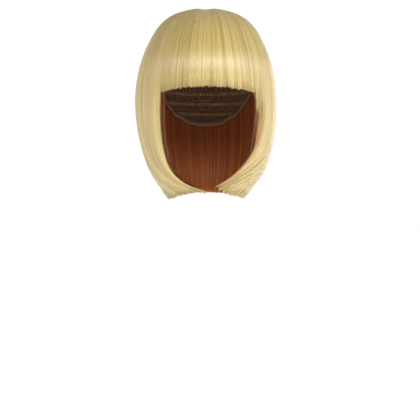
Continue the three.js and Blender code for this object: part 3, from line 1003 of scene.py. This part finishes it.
cap = {
    "around": [0, 30, 48, 62, 72, 82, 98, 118, 140, 160, 180],
    "fall": [0.52, 0.55, 0.7, 1.0, 1.18, 1.08, 0.98, 1.2, 1.56, 1.7, 1.73],
    "columns": 240,
    "rows": 48,
    "bindingWidth": 7.0,
    "bindingDepth": 0.45,
    "netSize": 2.6,
    "rowSpacing": 11.0,
    "thread": (0.20, 0.11, 0.055),
    # behind: the hair seen through the net's holes, painted near black as painted shade
    "behind": (0.06, 0.024, 0.01),
    "rootDark": (0.10, 0.04, 0.014),
    "rootLight": (0.36, 0.21, 0.08),
    "tape": (0.22, 0.125, 0.065),
    "tapeDark": (0.13, 0.07, 0.035),
}


def skull(angle, polar, grown):
    turn = np.radians(angle)
    upright = np.where(np.cos(polar) > 0, headForm["rise"], headForm["fall"]) + grown
    x = (headForm["breadth"] / 2 + grown) * np.sin(polar) * np.sin(turn)
    y = -(headForm["length"] / 2 + grown) * np.sin(polar) * np.cos(turn)
    return np.stack([x, y, -headForm["rise"] + upright * np.cos(polar)], axis=-1)


def mixColours(tree, share, first, second):
    node = tree.nodes.new("ShaderNodeMix")
    node.data_type = "RGBA"
    link(tree, share, node.inputs[0])
    for socket, colour in zip(node.inputs[6:8], (first, second)):
        if isinstance(colour, tuple):
            socket.default_value = (*colour, 1)
        else:
            link(tree, colour, socket)
    return node.outputs[2]


def rampBetween(tree, value, low, high):
    node = tree.nodes.new("ShaderNodeMapRange")
    node.interpolation_type = "SMOOTHSTEP"
    node.inputs["From Min"].default_value = low
    node.inputs["From Max"].default_value = high
    link(tree, value, node.inputs["Value"])
    return node.outputs["Result"]


# Net, rows of sewn hair every few millimetres, and the bound edge

def capMaterial():
    material, tree, shader = newMaterial("cap net")
    place = tree.nodes.new("ShaderNodeTexCoord").outputs["Object"]
    net = tree.nodes.new("ShaderNodeTexVoronoi")
    net.feature = "DISTANCE_TO_EDGE"
    net.inputs["Scale"].default_value = 1000 / cap["netSize"]
    net.inputs["Randomness"].default_value = 0.35
    link(tree, place, net.inputs["Vector"])
    holes = rampBetween(tree, net.outputs["Distance"], 0.05, 0.16)
    flow = tree.nodes.new("ShaderNodeAttribute")
    flow.attribute_name = "flow"
    split = tree.nodes.new("ShaderNodeSeparateXYZ")
    link(tree, flow.outputs["Vector"], split.inputs[0])
    turns = mathNode(tree, "MULTIPLY", split.outputs["Y"], 2 * math.pi * 10 / cap["rowSpacing"])
    rows = rampBetween(tree, mathNode(tree, "SINE", turns, 0.0), 0.35, 0.75)
    roots = streaks(tree, flow.outputs["Vector"], (26.0, 1.0, 0.0), 3.0, 4)
    edge = rampBetween(tree, split.outputs["Z"], 0.1, 0.35)
    # the holes take the painted shade colour
    netColour = mixColours(tree, holes, cap["thread"], cap["behind"])
    rootColour = mixColours(tree, rampBetween(tree, roots, 0.35, 0.65), cap["rootDark"], cap["rootLight"])
    colour = mixColours(tree, rows, netColour, rootColour)
    threads = streaks(tree, flow.outputs["Vector"], (9.0, 40.0, 0.0), 0.0, 6)
    stitches = rampBetween(tree, threads, 0.35, 0.65)
    tape = mixColours(tree, stitches, cap["tapeDark"], cap["tape"])
    link(tree, mixColours(tree, edge, colour, tape), shader.inputs["Base Color"])
    shader.inputs["Roughness"].default_value = 0.8
    raised = mathNode(tree, "SUBTRACT", rows, mathNode(tree, "MULTIPLY", holes, 0.5))
    raised = mathNode(tree, "ADD", raised, edge)
    raised = mathNode(tree, "ADD", raised, mathNode(tree, "MULTIPLY", roots, 0.6))
    bump = tree.nodes.new("ShaderNodeBump")
    bump.inputs["Strength"].default_value = 0.8
    bump.inputs["Distance"].default_value = 0.0006
    link(tree, raised, bump.inputs["Height"])
    link(tree, bump.outputs["Normal"], shader.inputs["Normal"])
    return material


def makeCap():
    parts = Parts()
    columns, rows = cap["columns"] + 1, cap["rows"]
    angle = np.linspace(0, 360, columns)[None, :]
    fall = headForm["rise"] * np.interp(np.minimum(angle, 360 - angle), cap["around"], cap["fall"])
    upright = np.where(fall < headForm["rise"], headForm["rise"], headForm["fall"])
    edge = np.arccos((headForm["rise"] - fall) / upright)
    polar = edge * np.linspace(0, 1, rows)[:, None]
    angle = np.broadcast_to(angle, polar.shape)
    fromEdge = (edge - polar) * headForm["rise"]
    binding = cap["bindingDepth"] * (1 - smoothstep(fromEdge, cap["bindingWidth"] - 1, cap["bindingWidth"]))
    outer = skull(angle, polar, headForm["capThickness"])
    inner = skull(angle, polar, 0)
    inner = inner - unit(inner + [0, 0, headForm["rise"]]) * binding[..., None]
    for face in (outer, inner):
        face[:, -1] = face[:, 0]
    flow = np.stack([angle / 10, polar * headForm["rise"] / 10, binding], axis=-1)
    addBowl(parts, outer, inner, flow, 0)
    return parts.build("capNet", [capMaterial()])


placePiece(makeCap(), "cap")
print("hair and cap made")


# Floor, lights and camera

floor = {"height": -0.555, "size": 60.0, "colour": (0.95, 0.95, 0.95), "glow": 0.8}
bpy.ops.mesh.primitive_plane_add(size=floor["size"], location=(0, 0, floor["height"]))
ground = bpy.context.object
ground.name = "floor"
material, tree, shader = newMaterial("pale floor")
shader.inputs["Base Color"].default_value = (*floor["colour"], 1)
shader.inputs["Roughness"].default_value = 0.9
shader.inputs["Emission Color"].default_value = (1, 1, 1, 1)
shader.inputs["Emission Strength"].default_value = floor["glow"]
ground.data.materials.append(material)

world = bpy.context.scene.world or bpy.data.worlds.new("studio")
bpy.context.scene.world = world
world.use_nodes = True
background = world.node_tree.nodes["Background"]
background.inputs["Color"].default_value = (1, 1, 1, 1)
studio = {"backdrop": 1.05, "walls": 0.7, "ceiling": 0.1, "behind": 0.45}  # brightness of the room
tree = world.node_tree
split = tree.nodes.new("ShaderNodeSeparateXYZ")
link(tree, tree.nodes.new("ShaderNodeTexCoord").outputs["Generated"], split.inputs[0])
up = rampBetween(tree, split.outputs["Z"], 0.05, 0.7)
up.node.inputs["To Min"].default_value = studio["walls"]
up.node.inputs["To Max"].default_value = studio["ceiling"]
seen = tree.nodes.new("ShaderNodeLightPath").outputs["Is Camera Ray"]
behind = mathNode(tree, "MULTIPLY", rampBetween(tree, split.outputs["Y"], 0.0, 0.8), studio["behind"])
lit = mathNode(tree, "MULTIPLY", up, mathNode(tree, "ADD", behind, 1.0))
strength = mathNode(tree, "MAXIMUM", lit, mathNode(tree, "MULTIPLY", seen, studio["backdrop"]))
link(tree, strength, background.inputs["Strength"])

lights = {
    "keyMiddle": {"turn": 5.0, "rise": 24.0, "away": 1.9, "size": (1.5, 0.55), "watts": 17.5},
    "keyLeft": {"turn": -50.0, "rise": 24.0, "away": 1.9, "size": (1.3, 0.55), "watts": 10.0},
    "keyRight": {"turn": 55.0, "rise": 24.0, "away": 1.9, "size": (1.3, 0.55), "watts": 19.0},
    "behind": {"turn": 178.0, "rise": 12.0, "away": 1.9, "size": (1.8, 0.6), "watts": 7.0},
    "fillRight": {"turn": 70.0, "rise": -8.0, "away": 1.9, "size": (1.0, 1.2), "watts": 12.0},
    "rimRight": {"turn": 135.0, "rise": 0.0, "away": 1.9, "size": (1.2, 1.2), "watts": 14.0},
    "fillLeft": {"turn": -75.0, "rise": -8.0, "away": 1.9, "size": (1.0, 1.2), "watts": 4.0},
}
target = np.array([0.0, -0.02, -0.1])
for name, look in lights.items():
    lamp = bpy.data.lights.new(name, "AREA")
    lamp.shape = "RECTANGLE"
    lamp.size, lamp.size_y = look["size"]
    lamp.energy = look["watts"]
    holder = bpy.data.objects.new(name, lamp)
    bpy.context.scene.collection.objects.link(holder)
    turn, rise = math.radians(look["turn"]), math.radians(look["rise"])
    way = np.array([math.sin(turn) * math.cos(rise), -math.cos(turn) * math.cos(rise), math.sin(rise)])
    holder.location = target + way * look["away"]
    holder.rotation_euler = (math.pi / 2 - rise, 0, turn)

camera = {
    "distance": 2.0,
    "aside": 0.0063,
    "height": -0.2708,
    "frameWidth": 0.588,  # width of the photo's frame at the wig
    "sensor": 36.0,
}
lens = bpy.data.cameras.new("camera")
lens.sensor_width = camera["sensor"]
lens.lens = camera["sensor"] * camera["distance"] / camera["frameWidth"]
eye = bpy.data.objects.new("camera", lens)
bpy.context.scene.collection.objects.link(eye)
eye.location = (camera["aside"], -camera["distance"], camera["height"])
eye.rotation_euler = (math.pi / 2, 0, 0)
bpy.context.scene.camera = eye
bpy.context.scene.view_settings.view_transform = "Standard"
print("camera and lights placed")
